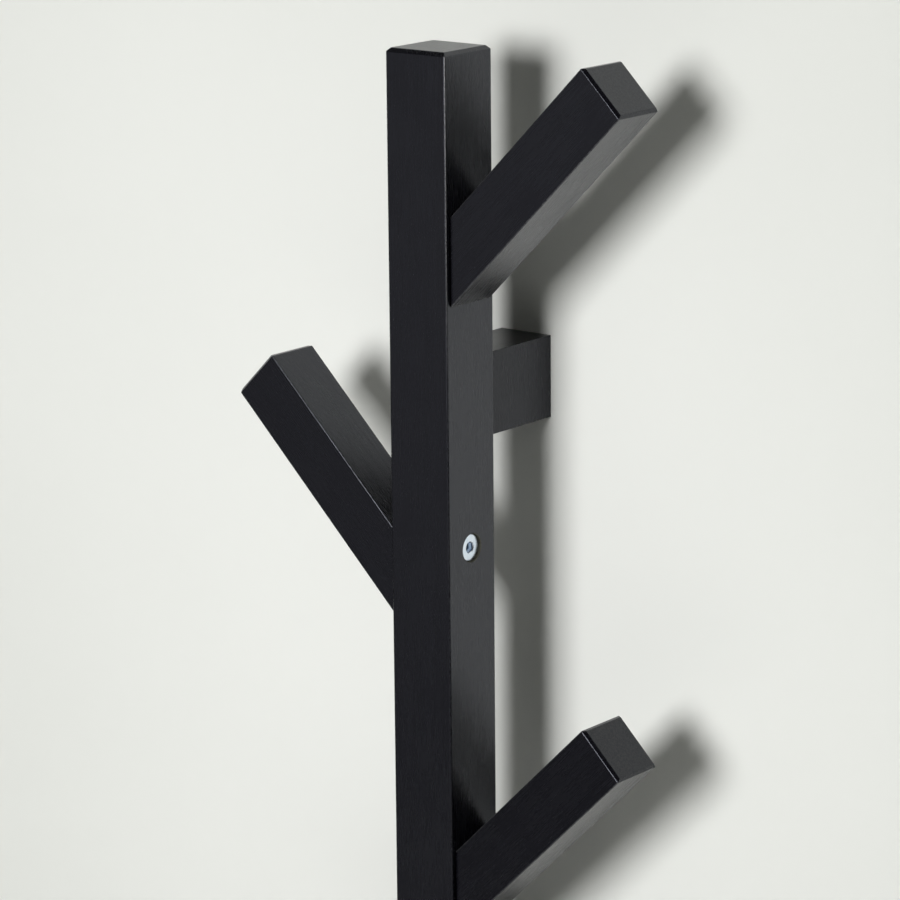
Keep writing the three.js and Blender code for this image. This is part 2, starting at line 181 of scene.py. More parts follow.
def near_long_edge(tree, half_width, half_depth, radius):
    """1 along the middle of the bar's rounded long edges, falling to 0 about a millimetre away."""
    coordinates = add(tree, "ShaderNodeTexCoord").outputs["Object"]
    parts = add(tree, "ShaderNodeSeparateXYZ", {0: coordinates}).outputs
    reach = 1.1 * MM
    across = remap(tree, math_node(tree, "ABSOLUTE", parts[0]), half_width - reach, half_width)
    along = remap(tree, math_node(tree, "ABSOLUTE", parts[1]), half_depth - reach, half_depth)
    both = math_node(tree, "MULTIPLY", across, along)
    at_middle = (1 - radius * (1 - math.cos(math.pi / 4)) / reach) ** 2
    return math_node(tree, "DIVIDE", both, at_middle, clamp=True)


def height_in_piece(tree):
    coordinates = add(tree, "ShaderNodeTexCoord").outputs["Object"]
    return add(tree, "ShaderNodeSeparateXYZ", {0: coordinates}).outputs[2]


def on_end_grain(tree):
    """1 on the faces across the piece's own Z, where the wood's end grain lies under the paint."""
    normal = add(tree, "ShaderNodeTexCoord").outputs["Normal"]
    upright = add(tree, "ShaderNodeSeparateXYZ", {0: normal}).outputs[2]
    return remap(tree, math_node(tree, "ABSOLUTE", upright), 0.90, 0.97)


def black_paint(
    name,
    half_width,
    half_depth,
    seed,
    radius=EDGE_RADIUS,
    wear_and_highlight=POST_WEAR_AND_HIGHLIGHT,
    glint_heights=None,
    ior=PAINT_IOR,
):
    """Satin black paint on solid wood whose grain runs along the piece's own Z.

    `radius` is the long edges' rounding and `wear_and_highlight` is how far their paint is lightened,
    partly as abraded paint and partly as a painted highlight. `glint_heights` gives two heights, between
    which a painted highlight, the key light's glint, grows along the crests of the edges to a pale grey.
    """
    material, tree = new_tree(name)
    shift = tuple(seed * step for step in SEED_STEP)
    along_grain = object_coordinates(tree, (1, 1, 0.045), shift)
    even = object_coordinates(tree, (1, 1, 1), shift)
    figure = noise(tree, along_grain, scale=190, detail=3.0, roughness=0.55, distortion=0.8)
    pores = noise(tree, along_grain, scale=1150, detail=3.0, roughness=0.6)
    cloud = noise(tree, even, scale=34, detail=2.0)
    spray = noise(tree, even, scale=2600, detail=2.0)
    end_fleck = noise(tree, even, scale=900, detail=4.0, roughness=0.7, distortion=0.6)
    end_cloud = noise(tree, even, scale=260, detail=2.0)
    end = on_end_grain(tree)
    edge = near_long_edge(tree, half_width, half_depth, radius)
    patches = noise(tree, even, scale=420, detail=3.0)
    broken_edge = math_node(tree, "MULTIPLY", edge, remap(tree, patches, 0.38, 0.62, 0.15, 1))

    deep = (0.0018, 0.0016, 0.0030, 1)
    light = (0.0029, 0.0026, 0.0045, 1)
    fleck = (0.0240, 0.0240, 0.0240, 1)
    # the lighter tone of the long edges: partly abraded paint, partly a painted highlight
    worn_and_highlit = (0.085, 0.085, 0.088, 1)
    glint_tone = (0.52, 0.52, 0.53, 1)
    body = blend_colours(tree, remap(tree, figure, 0.3, 0.7), deep, light)
    flecked = math_node(tree, "MULTIPLY", end, remap(tree, end_fleck, 0.40, 0.62))
    body = blend_colours(tree, flecked, body, fleck)
    # a lighter line along the long edges: partly abraded paint, partly a painted highlight
    corner_line = math_node(tree, "POWER", edge, 3)
    thin_and_highlit = math_node(tree, "MULTIPLY", corner_line, remap(tree, patches, 0.38, 0.62, 0.4, 1))
    colour = blend_colours(tree, math_node(tree, "MULTIPLY", thin_and_highlit, wear_and_highlight), body, worn_and_highlit)
    # painted highlight: the key light's glint along the crests of the post's edges, pale grey, growing
    # towards the top and broken up by noise
    if glint_heights is not None:
        crest = math_node(tree, "POWER", edge, 8)
        painted_glint = math_node(tree, "MULTIPLY", remap(tree, height_in_piece(tree), *glint_heights), crest)
        glint_breakup = noise(tree, even, scale=700, detail=3.0)
        painted_glint = math_node(tree, "MULTIPLY", painted_glint, remap(tree, glint_breakup, 0.36, 0.56, 0.40, 1))
        colour = blend_colours(tree, painted_glint, colour, glint_tone)

    gloss = remap(tree, cloud, 0.3, 0.7, 0.25, 0.29)
    gloss = math_node(tree, "ADD", gloss, remap(tree, pores, 0.35, 0.65, -0.02, 0.02))
    gloss = math_node(tree, "ADD", gloss, math_node(tree, "MULTIPLY", end, 0.06))
    gloss = math_node(tree, "ADD", gloss, math_node(tree, "MULTIPLY", broken_edge, 0.04), clamp=True)

    broad = blend_values(tree, end, figure, end_cloud)
    fine = blend_values(tree, end, pores, end_fleck)
    relief = bump(tree, broad, strength=0.24, distance=0.25 * MM)
    relief = bump(tree, fine, strength=0.48, distance=0.10 * MM, normal=relief)
    relief = bump(tree, spray, strength=0.40, distance=0.04 * MM, normal=relief)
    gloss_tint = (0.84, 0.87, 1.0, 1)
    inputs = {"Base Color": colour, "Roughness": gloss, "Normal": relief}
    surface(tree, inputs | {"IOR": ior, "Specular Tint": gloss_tint})
    return material


def raw_wood():
    """The wood on the walls of a drilled hole, greyed and specked by overspray."""
    material, tree = new_tree("raw_wood")
    along_grain = object_coordinates(tree, (1, 1, 0.1))
    even = object_coordinates(tree)
    fibre = noise(tree, along_grain, scale=900, detail=4.0, roughness=0.65)
    specks = noise(tree, even, scale=1300, detail=2.0)
    deep = (0.055, 0.053, 0.040, 1)
    light = (0.155, 0.150, 0.118, 1)
    overspray = (0.012, 0.011, 0.011, 1)
    wood = blend_colours(tree, remap(tree, fibre, 0.3, 0.7), deep, light)
    colour = blend_colours(tree, remap(tree, specks, 0.58, 0.66), wood, overspray)
    relief = bump(tree, fibre, strength=0.5, distance=0.15 * MM)
    surface(tree, {"Base Color": colour, "Roughness": 0.75, "Normal": relief})
    return material


def zinc(name):
    """Bright zinc plating with fine turning rings around the piece's own X and a thread along it."""
    material, tree = new_tree(name)
    coordinates = add(tree, "ShaderNodeTexCoord").outputs["Object"]
    depth, side_a, side_b = add(tree, "ShaderNodeSeparateXYZ", {0: coordinates}).outputs
    squares = [math_node(tree, "MULTIPLY", side, side) for side in (side_a, side_b)]
    radius = math_node(tree, "SQRT", math_node(tree, "ADD", *squares))
    even = object_coordinates(tree)
    cloud = noise(tree, even, scale=260, detail=3.0)
    grit = noise(tree, even, scale=2400, detail=3.0)
    ring_pitch = 0.35 * MM
    rings = math_node(tree, "SINE", math_node(tree, "MULTIPLY", radius, math.tau / ring_pitch))

    turn = math_node(tree, "ARCTAN2", side_a, side_b)
    travel = math_node(tree, "MULTIPLY", depth, math.tau / THREAD_PITCH)
    thread = math_node(tree, "SINE", math_node(tree, "ADD", travel, turn))
    on_shank = remap(tree, radius, SHANK_RADIUS + 0.2 * MM, SHANK_RADIUS + 0.1 * MM)
    past_head = remap(tree, depth, HEAD_THICKNESS, HEAD_THICKNESS + 0.5 * MM)
    thread = math_node(tree, "MULTIPLY", thread, math_node(tree, "MULTIPLY", on_shank, past_head))

    dull, bright = (0.72, 0.81, 0.93, 1), (0.84, 0.91, 1.0, 1)
    # Painted shade and light in the hexagon socket: dark blue near its mouth and towards its bottom, where
    # the recess lies in shade, and a pale blue band between for the light and reflections that reach in.
    painted_shade_wall, painted_light_wall = (0.02, 0.06, 0.13, 1), (0.58, 0.74, 0.95, 1)
    colour = blend_colours(tree, remap(tree, cloud, 0.3, 0.7), dull, bright)
    inside = remap(tree, radius, SHANK_RADIUS - 0.2 * MM, SHANK_RADIUS - 0.3 * MM)
    inside = math_node(tree, "MULTIPLY", inside, remap(tree, depth, 0.3 * MM, 0.8 * MM))
    # the band of painted light on the socket's walls
    lit_wall = remap(tree, depth, 1.1 * MM, 1.7 * MM)
    lit_wall = math_node(tree, "MULTIPLY", lit_wall, remap(tree, depth, 3.2 * MM, 3.8 * MM, 1, 0.1))
    socket = blend_colours(tree, lit_wall, painted_shade_wall, painted_light_wall)
    colour = blend_colours(tree, inside, colour, socket)
    metal = remap(tree, inside, 0, 1, 1, 0.35)  # the socket mirrors less than the rest
    gloss = remap(tree, grit, 0.3, 0.7, 0.20, 0.30)
    relief = bump(tree, rings, strength=0.10, distance=0.02 * MM)
    relief = bump(tree, grit, strength=0.12, distance=0.04 * MM, normal=relief)
    relief = bump(tree, thread, strength=0.9, distance=0.5 * MM, normal=relief)
    surface(tree, {"Base Color": colour, "Metallic": metal, "Roughness": gloss, "Normal": relief})
    return material


def plate_steel():
    """Zinc-plated sheet steel, rolled along X."""
    material, tree = new_tree("plate_steel")
    rolled = object_coordinates(tree, (0.05, 1, 1))
    even = object_coordinates(tree)
    lines = noise(tree, rolled, scale=1800, detail=3.0, roughness=0.6)
    spangle = noise(tree, even, scale=350, detail=2.0)
    dull, bright = (0.58, 0.60, 0.62, 1), (0.78, 0.80, 0.82, 1)
    colour = blend_colours(tree, remap(tree, spangle, 0.35, 0.65), dull, bright)
    gloss = remap(tree, lines, 0.3, 0.7, 0.3, 0.45)
    relief = bump(tree, lines, strength=0.25, distance=0.03 * MM)
    surface(tree, {"Base Color": colour, "Metallic": 1.0, "Roughness": gloss, "Normal": relief})
    return material


def beech(name, stretch):
    """Bare beech with its grain along the dowel."""
    material, tree = new_tree(name)
    along_grain = object_coordinates(tree, stretch)
    even = object_coordinates(tree)
    fibre = noise(tree, along_grain, scale=800, detail=4.0, roughness=0.6)
    flecks = noise(tree, even, scale=1500, detail=1.0)
    deep, light, fleck = (0.42, 0.27, 0.14, 1), (0.62, 0.43, 0.25, 1), (0.25, 0.14, 0.07, 1)
    wood = blend_colours(tree, remap(tree, fibre, 0.3, 0.7), deep, light)
    colour = blend_colours(tree, remap(tree, flecks, 0.62, 0.7, 0, 0.5), wood, fleck)
    relief = bump(tree, fibre, strength=0.4, distance=0.1 * MM)
    surface(tree, {"Base Color": colour, "Roughness": 0.62, "Normal": relief})
    return material


def glide_plastic():
    """Dark grey moulded plastic with a fine spark-eroded texture."""
    material, tree = new_tree("glide_plastic")
    even = object_coordinates(tree)
    grain = noise(tree, even, scale=1900, detail=3.0, roughness=0.6)
    scuffs = noise(tree, object_coordinates(tree, (1, 0.15, 1)), scale=500, detail=3.0)
    moulded, scuffed = (0.040, 0.040, 0.043, 1), (0.075, 0.075, 0.078, 1)
    colour = blend_colours(tree, remap(tree, scuffs, 0.55, 0.7), moulded, scuffed)
    gloss = remap(tree, grain, 0.3, 0.7, 0.48, 0.62)
    relief = bump(tree, grain, strength=0.3, distance=0.06 * MM)
    surface(tree, {"Base Color": colour, "Roughness": gloss, "Normal": relief})
    return material


# ---------------------------------------------------------------- mesh tools


def lathe(bm, profile, start, direction, sides, material_index=0):
    """Adds a closed turned shape.

    The profile is a list of (distance along the direction, radius) that starts and ends on the axis.
    """
    direction = Vector(direction).normalized()
    turn = RIGHT.rotation_difference(direction).to_matrix().to_4x4()
    place = Matrix.Translation(start) @ turn
    rings = []
    for along, radius in profile:
        if radius == 0:
            rings.append([bm.verts.new(place @ Vector((along, 0, 0)))])
            continue
        ring = []
        for step in range(sides):
            angle = math.tau * step / sides
            point = Vector((along, radius * math.cos(angle), radius * math.sin(angle)))
            ring.append(bm.verts.new(place @ point))
        rings.append(ring)
    faces = []
    for first, second in zip(rings, rings[1:]):
        for step in range(sides):
            after = (step + 1) % sides
            corners = [first[step % len(first)], second[step % len(second)]]
            corners += [second[after % len(second)], first[after % len(first)]]
            faces.append(bm.faces.new(list(dict.fromkeys(corners))))
    for face in faces:
        face.material_index = material_index
    bmesh.ops.recalc_face_normals(bm, faces=faces)


def arc(centre_x, centre_y, radius, first, last, steps=5):
    """Points of an arc in a plane, from one angle to another in degrees."""
    points = []
    for step in range(steps + 1):
        angle = math.radians(first + (last - first) * step / steps)
        points.append((centre_x + radius * math.cos(angle), centre_y + radius * math.sin(angle)))
    return points


def rounded_outline(corners, radius, steps=8):
    """The four corners of an upright rectangle, going round, each replaced by an arc."""
    centre_x = sum(x for x, _ in corners) / 4
    centre_z = sum(z for _, z in corners) / 4
    outline = []
    for quarter, (x, z) in enumerate(corners):
        middle_x = x - math.copysign(radius, x - centre_x)
        middle_z = z - math.copysign(radius, z - centre_z)
        first = 180 + 90 * quarter
        outline += arc(middle_x, middle_z, radius, first, first + 90, steps)
    return outline


def add_prism(bm, outline, low_y, high_y):
    """Adds a closed prism along Y over an outline of (x, z) points, for cutting."""
    near = [bm.verts.new((x, low_y, z)) for x, z in outline]
    far = [bm.verts.new((x, high_y, z)) for x, z in outline]
    faces = [bm.faces.new(near), bm.faces.new(list(reversed(far)))]
    for step in range(len(outline)):
        after = (step + 1) % len(outline)
        faces.append(bm.faces.new((near[step], near[after], far[after], far[step])))
    for face in faces:
        face.material_index = CUT_FACES
    bmesh.ops.recalc_face_normals(bm, faces=faces)


def object_from(bm, name):
    mesh = bpy.data.meshes.new(name)
    bm.to_mesh(mesh)
    bm.free()
    made = bpy.data.objects.new(name, mesh)
    bpy.context.scene.collection.objects.link(made)
    return made


def apply_modifiers(target):
    """Replaces the object's mesh with its modified one."""
    bpy.context.view_layer.update()
    evaluated = target.evaluated_get(bpy.context.evaluated_depsgraph_get())
    mesh = bpy.data.meshes.new_from_object(evaluated)
    target.modifiers.clear()
    target.data = mesh


def cut(target, cutter):
    """Cuts one mesh from another. The cut faces keep the cutter's material index."""
    for material in target.data.materials:
        cutter.data.materials.append(material)
    modifier = target.modifiers.new("cut", "BOOLEAN")
    modifier.operation = "DIFFERENCE"
    modifier.solver = "EXACT"
    modifier.object = cutter
    apply_modifiers(target)
    bpy.data.objects.remove(cutter)


def smooth(mesh):
    mesh.shade_smooth()
    mesh.set_sharp_from_angle(angle=SHARP_ABOVE)


def shade(target):
    """Smooth shading over the rounded edges, with the large faces left flat."""
    smooth(target.data)
    normals = target.modifiers.new("normals", "WEIGHTED_NORMAL")
    normals.weight = 100
    normals.keep_sharp = True


def finish_piece(target, node):
    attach(target, "root")
    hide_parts(node)


# ---------------------------------------------------------------- where things are

post_low, post_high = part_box("post")
spacer_low, spacer_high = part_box("wall_spacer")
half_post = post_high.x
wall_y = spacer_high.y


def middle(node):
    low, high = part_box(node)
    return (low + high) / 2


def main_axis(direction):
    """0, 1 or 2: the axis that the direction runs along."""
    return max(range(3), key=lambda index: abs(direction[index]))


def peg_facts(number):
    """What a peg's bar needs, worked out from its solid's box and the 45 degrees of its slant."""
    side_name = "right" if number % 2 else "left"
    side = 1 if number % 2 else -1
    node = f"peg_{number}_{side_name}"
    low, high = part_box(node)
    section = high.y - low.y
    inner = low.x if side > 0 else -high.x
    outer = high.x if side > 0 else -low.x
    gap = inner - half_post
    joint_z = low.z - gap + section / math.sqrt(2)
    length = (outer - half_post) * math.sqrt(2) - section / 2 + PEG_CHAMFER
    return {
        "number": number,
        "node": node,
        "side": side,
        "section": section,
        "gap": gap,
        "joint": Vector((side * half_post, 0, joint_z)),
        "length": length,
        "bolt_z": middle(f"peg_{number}_bolt").z,
        "dowel_z": middle(f"peg_{number}_dowel").z,
    }


pegs = [peg_facts(number) for number in range(1, PEG_COUNT + 1)]


# ---------------------------------------------------------------- wooden bars


def bar_object(
    name,
    place,
    materials,
    width,
    depth,
    low_z,
    high_z,
    chamfered,
    chamfer=END_CHAMFER,
    mitre=None,
    radius=EDGE_RADIUS,
):
    """A bar along its own Z. `chamfered` says which of its ends, low and high, are free and chamfered.

    The first material is for the outside and the second for what is cut into it. `mitre` is the height
    at which a slanting low end crosses the bar's axis.
    """
    bm = bmesh.new()
    bmesh.ops.create_cube(bm, size=1)
    for vert in bm.verts:
        is_high = vert.co.z > 0
        vert.co.x *= width
        vert.co.y *= depth
        vert.co.z = high_z if is_high else low_z
        if mitre is not None and not is_high:
            vert.co.z = mitre - vert.co.x
    middle_z = (low_z + high_z) / 2
    ends = []
    for edge in bm.edges:
        first_high, second_high = (vert.co.z > middle_z for vert in edge.verts)
        if first_high == second_high and chamfered[first_high]:
            ends.append(edge)
    bmesh.ops.bevel(bm, geom=ends, offset=chamfer, offset_type="OFFSET", segments=1, affect="EDGES")
    weights = bm.edges.layers.float.new("bevel_weight_edge")
    for edge in bm.edges:
        first, second = (vert.co for vert in edge.verts)
        is_long = (first - second).length > max(width, depth) * LONG_EDGE_SHARE
        if is_long and edge.calc_face_angle() > LONG_EDGE_ANGLE:
            edge[weights] = 1.0
        elif chamfered[(first.z + second.z) / 2 > middle_z]:
            edge[weights] = CRISP_EDGE_SHARE
        else:
            edge[weights] = JOINT_EDGE_SHARE
    made = object_from(bm, name)
    made.matrix_world = place
    for material in materials:
        made.data.materials.append(material)
    rounding = made.modifiers.new("rounding", "BEVEL")
    rounding.limit_method = "WEIGHT"
    rounding.width = radius
    rounding.segments = EDGE_SEGMENTS
    apply_modifiers(made)
    return made


def depth_from(mouth, inward, node):
    """How far a node reaches past a mouth, along one of the axes."""
    low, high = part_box(node)
    axis = main_axis(inward)
    return (high[axis] - mouth[axis]) if inward[axis] > 0 else (mouth[axis] - low[axis])


def sunk_from(mouth, inward, node):
    """How far below a mouth a node starts."""
    low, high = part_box(node)
    axis = main_axis(inward)
    return (low[axis] - mouth[axis]) if inward[axis] > 0 else (mouth[axis] - high[axis])


def plain_hole(bm, mouth, inward, radius, depth):
    profile = [(-PAST, 0), (-PAST, radius), (depth, radius), (depth, 0)]
    lathe(bm, profile, mouth, inward, HIDDEN_SIDES, material_index=CUT_FACES)


def hole_for_bolt(bm, mouth, inward, bolt, through):
    """A counterbore down to just under the bolt's head, and its bore going on through the bar."""
    floor = sunk_from(mouth, inward, bolt) + HEAD_THICKNESS + COUNTERBORE_CLEARANCE
    reach = through + PAST
    profile = [
        (-PAST, 0),
        (-PAST, COUNTERBORE_RADIUS + MOUTH_CHAMFER + PAST),
        (MOUTH_CHAMFER, COUNTERBORE_RADIUS),
        (floor, COUNTERBORE_RADIUS),
        (floor, BORE_RADIUS),
        (reach, BORE_RADIUS),
        (reach, 0),
    ]
    lathe(bm, profile, mouth, inward, ROUND_SIDES, material_index=CUT_FACES)


def hole_for_insert(bm, mouth, inward, insert, bolt):
    """A hole for a threaded sleeve, and a narrower one going on for the bolt's end."""
    floor = depth_from(mouth, inward, insert) + HOLE_CLEARANCE
    reach = depth_from(mouth, inward, bolt) + PAST
    profile = [
        (-PAST, 0),
        (-PAST, INSERT_HOLE_RADIUS),
        (floor, INSERT_HOLE_RADIUS),
        (floor, BORE_RADIUS),
        (reach, BORE_RADIUS),
        (reach, 0),
    ]
    lathe(bm, profile, mouth, inward, HIDDEN_SIDES, material_index=CUT_FACES)


def hole_for_dowel(bm, mouth, inward, dowel):
    depth = depth_from(mouth, inward, dowel) + HOLE_CLEARANCE
    plain_hole(bm, mouth, inward, DOWEL_HOLE_RADIUS, depth)


def make_post(wood):
    width = post_high.x - post_low.x
    # the heights between which the post's edges carry the painted highlight of the key light's glint
    glint_heights = (post_high.z - PAINTED_GLINT_REACH, post_high.z)
    paint = black_paint("paint_post", half_post, half_post, PAINT_SEED["post"], glint_heights=glint_heights)
    place = Matrix.Identity(4)
    free_ends = (False, True)
    made = bar_object("post_body", place, [paint, wood], width, width, post_low.z, post_high.z, free_ends)
    holes = bmesh.new()
    for peg in pegs:
        inward = Vector((peg["side"], 0, 0))
        far_face = Vector((-peg["side"] * half_post, 0, peg["bolt_z"]))
        hole_for_bolt(holes, far_face, inward, f"peg_{peg['number']}_bolt", width)
        near_face = Vector((peg["side"] * half_post, 0, peg["dowel_z"]))
        hole_for_dowel(holes, near_face, -inward, f"peg_{peg['number']}_dowel")
    back = Vector((0, half_post, middle("spacer_bolt").z))
    hole_for_insert(holes, back, -TO_WALL, "spacer_insert", "spacer_bolt")
    hole_for_dowel(holes, Vector((0, half_post, middle("spacer_dowel").z)), -TO_WALL, "spacer_dowel")
    base = Vector((0, 0, post_low.z))
    hole_for_insert(holes, base, UP, "foot_insert", "foot_bolt")
    for dowel in ("foot_dowel_front", "foot_dowel_back"):
        mouth = Vector((middle(dowel).x, middle(dowel).y, post_low.z))
        hole_for_dowel(holes, mouth, UP, dowel)
    cut(made, object_from(holes, "post_holes"))
    shade(made)
    finish_piece(made, "post")


def make_peg(peg, wood):
    number, section, gap = peg["number"], peg["section"], peg["gap"]
    face_turn = Matrix.Identity(4) if peg["side"] > 0 else Matrix.Rotation(math.pi, 4, "Z")
    place = Matrix.Translation(peg["joint"]) @ face_turn @ Matrix.Rotation(PEG_ANGLE, 4, "Y")
    half = section / 2
    ior = PEG_IOR[number - 1]
    paint = black_paint(f"paint_peg_{number}", half, half, number, PEG_EDGE_RADIUS, PEG_WEAR_AND_HIGHLIGHT, ior=ior)
    made = bar_object(
        f"{peg['node']}_body",
        place,
        [paint, wood],
        section,
        section,
        0,
        peg["length"],
        (False, True),
        chamfer=PEG_CHAMFER,
        mitre=gap * math.sqrt(2),
        radius=PEG_EDGE_RADIUS,
    )
    holes = bmesh.new()
    outward = Vector((peg["side"], 0, 0))
    mouth_x = peg["side"] * (half_post + gap)
    bolt_mouth = Vector((mouth_x, 0, peg["bolt_z"]))
    hole_for_insert(holes, bolt_mouth, outward, f"peg_{number}_insert", f"peg_{number}_bolt")
    hole_for_dowel(holes, Vector((mouth_x, 0, peg["dowel_z"])), outward, f"peg_{number}_dowel")
    cut(made, object_from(holes, "peg_holes"))
    shade(made)
    finish_piece(made, peg["node"])


def plate_recess():
    """A cutter for the keyhole plate's recess in the spacer's back."""
    low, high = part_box("keyhole_plate")
    clear = HOLE_CLEARANCE
    corners = [(low.x - clear, low.z - clear), (high.x + clear, low.z - clear)]
    corners += [(high.x + clear, high.z + clear), (low.x - clear, high.z + clear)]
    outline = rounded_outline(corners, PLATE_CORNER_RADIUS)
    bm = bmesh.new()
    add_prism(bm, outline, low.y - clear, wall_y + PAST)
    return bm


def keyhole_pocket():
    """A cutter for the space behind the keyhole, a slot with round ends."""
    centre_z = middle("keyhole_plate").z
    outline = arc(0, centre_z - POCKET_BELOW, POCKET_RADIUS, 180, 360, ROUND_END_STEPS)
    outline += arc(0, centre_z + POCKET_ABOVE, POCKET_RADIUS, 0, 180, ROUND_END_STEPS)
    bm = bmesh.new()
    add_prism(bm, outline, wall_y - POCKET_DEPTH, wall_y)
    return bm


def make_spacer(wood):
    width = spacer_high.x - spacer_low.x
    depth = spacer_high.y - spacer_low.y
    centre = (spacer_low + spacer_high) / 2
    half_height = (spacer_high.z - spacer_low.z) / 2
    place = Matrix.Translation(centre)
    paint = black_paint("paint_spacer", width / 2, depth / 2, PAINT_SEED["wall_spacer"], ior=SPACER_IOR)
    materials = [paint, wood]
    free_ends = (False, False)
    ends = (-half_height, half_height)
    made = bar_object("wall_spacer_body", place, materials, width, depth, *ends, free_ends)
    bolt_mouth = Vector((0, wall_y, middle("spacer_bolt").z))
    holes = bmesh.new()
    hole_for_bolt(holes, bolt_mouth, -TO_WALL, "spacer_bolt", depth)
    dowel_mouth = Vector((0, spacer_low.y, middle("spacer_dowel").z))
    hole_for_dowel(holes, dowel_mouth, TO_WALL, "spacer_dowel")
    for screw in ("keyhole_screw_left", "keyhole_screw_right"):
        mouth = Vector((middle(screw).x, wall_y, middle(screw).z))
        screw_end = depth_from(mouth, -TO_WALL, screw) + HOLE_CLEARANCE
        plain_hole(holes, mouth, -TO_WALL, SCREW_HOLE_RADIUS, screw_end)
    cut(made, object_from(holes, "spacer_holes"))
    cut(made, object_from(plate_recess(), "plate_recess"))
    cut(made, object_from(keyhole_pocket(), "keyhole_pocket"))
    shade(made)
    finish_piece(made, "wall_spacer")


def make_foot_bar(node, axis, wood):
    """One of the foot's two halved bars. `axis` is 0 for the bar along X and 1 for the one along Y."""
    low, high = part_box(node)
    side = high.z - low.z
    middle_z = (low.z + high.z) / 2
    turn = Matrix.Rotation(math.pi / 2, 4, "Y") if axis == 0 else Matrix.Rotation(-math.pi / 2, 4, "X")
    place = Matrix.Translation((0, 0, middle_z)) @ turn
    paint = black_paint(f"paint_{node}", side / 2, side / 2, PAINT_SEED[node])
    made = bar_object(f"{node}_body", place, [paint, wood], side, side, low[axis], high[axis], (True, True))
    along = side / 2 + HOLE_CLEARANCE
    across = side / 2 + PAST
    gap = HOLE_CLEARANCE / 2
    if axis == 0:
        reach_x, reach_y = along, across
        low_z, high_z = low.z - PAST, middle_z + gap
    else:
        reach_x, reach_y = across, along
        low_z, high_z = middle_z - gap, high.z + PAST
    outline = [(-reach_x, low_z), (reach_x, low_z), (reach_x, high_z), (-reach_x, high_z)]
    notch = bmesh.new()
    add_prism(notch, outline, -reach_y, reach_y)
    cut(made, object_from(notch, "lap"))

    holes = bmesh.new()
    if axis == 0:
        plain_hole(holes, Vector((0, 0, high.z)), -UP, BORE_RADIUS, side / 2 + PAST)
        for dowel in ("foot_dowel_front", "foot_dowel_back"):
            mouth = Vector((middle(dowel).x, middle(dowel).y, high.z))
            hole_for_dowel(holes, mouth, -UP, dowel)
    else:
        hole_for_bolt(holes, Vector((0, 0, low.z)), UP, "foot_bolt", side / 2)
    glides = ("glide_left", "glide_right") if axis == 0 else ("glide_front", "glide_back")
    for glide in glides:
        mouth = Vector((middle(glide).x, middle(glide).y, low.z))
        pin_end = depth_from(mouth, UP, glide) + HOLE_CLEARANCE
        plain_hole(holes, mouth, UP, GLIDE_HOLE_RADIUS, pin_end)
    cut(made, object_from(holes, "foot_holes"))
    shade(made)
    finish_piece(made, node)


# ---------------------------------------------------------------- metal and plastic


def merge_slivers(mesh):
    """Merges the points that the cuts left within a hair of each other."""
    bm = bmesh.new()
    bm.from_mesh(mesh)
    bmesh.ops.remove_doubles(bm, verts=bm.verts, dist=SLIVER)
    bmesh.ops.dissolve_degenerate(bm, edges=bm.edges, dist=SLIVER)
    bm.to_mesh(mesh)
    bm.free()


def bolt_mesh(length):
    """A connecting bolt along +X, its head's outer face at x = 0, with a hexagon socket."""
    head_edge = 0.2 * MM
    profile = [(0, 0)]
    profile += arc(RIM_RADIUS, HEAD_RADIUS - RIM_RADIUS, RIM_RADIUS, 180, 90)
    profile += [
        (HEAD_THICKNESS - head_edge, HEAD_RADIUS),
        (HEAD_THICKNESS, HEAD_RADIUS - head_edge),
        (HEAD_THICKNESS, SHANK_RADIUS),
        (length - BOLT_TIP, SHANK_RADIUS),
        (length, SHANK_RADIUS - BOLT_TIP),
        (length, 0),
    ]
    bm = bmesh.new()
    lathe(bm, profile, ORIGIN, RIGHT, ROUND_SIDES)
    made = object_from(bm, "bolt_pattern")
    corner = HEX_ACROSS / math.sqrt(3)
    socket = bmesh.new()
    profile = [(-PAST, 0), (-PAST, corner), (HEX_DEPTH, corner), (HEX_DEPTH + HEX_POINT, 0)]
    lathe(socket, profile, ORIGIN, RIGHT, 6)
    cut(made, object_from(socket, "hexagon"))
    wide = corner + HEX_MOUTH
    mouth = bmesh.new()
    lathe(mouth, [(-PAST, 0), (-PAST, wide + PAST), (wide, 0)], ORIGIN, RIGHT, ROUND_SIDES)
    cut(made, object_from(mouth, "mouth"))
    mesh = made.data
    bpy.data.objects.remove(made)
    merge_slivers(mesh)
    return mesh


def finish_mesh(mesh, name, material):
    """A mesh that several pieces share gets its name, its one material and its shading."""
    mesh.name = name
    mesh.materials.clear()
    mesh.materials.append(material)
    smooth(mesh)


def place_turned(node, mesh, start, direction):
    """Sets a piece that is modelled along +X from the origin onto its start point and direction."""
    made = bpy.data.objects.new(f"{node}_body", mesh)
    bpy.context.scene.collection.objects.link(made)
    turn = RIGHT.rotation_difference(direction).to_matrix().to_4x4()
    made.matrix_world = Matrix.Translation(start) @ turn
    finish_piece(made, node)
    return made


def head_start(node, direction):
    """The point on the axis where a turned node starts."""
    low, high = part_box(node)
    start = (low + high) / 2
    axis = main_axis(direction)
    start[axis] = low[axis] if direction[axis] > 0 else high[axis]
    return start


def make_bolts(material):
    low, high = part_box("peg_1_bolt")
    mesh = bolt_mesh(high.x - low.x)
    finish_mesh(mesh, "connecting_bolt", material)
    ways = {f"peg_{peg['number']}_bolt": Vector((peg["side"], 0, 0)) for peg in pegs}
    ways["spacer_bolt"] = -TO_WALL
    ways["foot_bolt"] = UP
    made = []
    for node, direction in ways.items():
        made.append(place_turned(node, mesh, head_start(node, direction), direction))
    return made


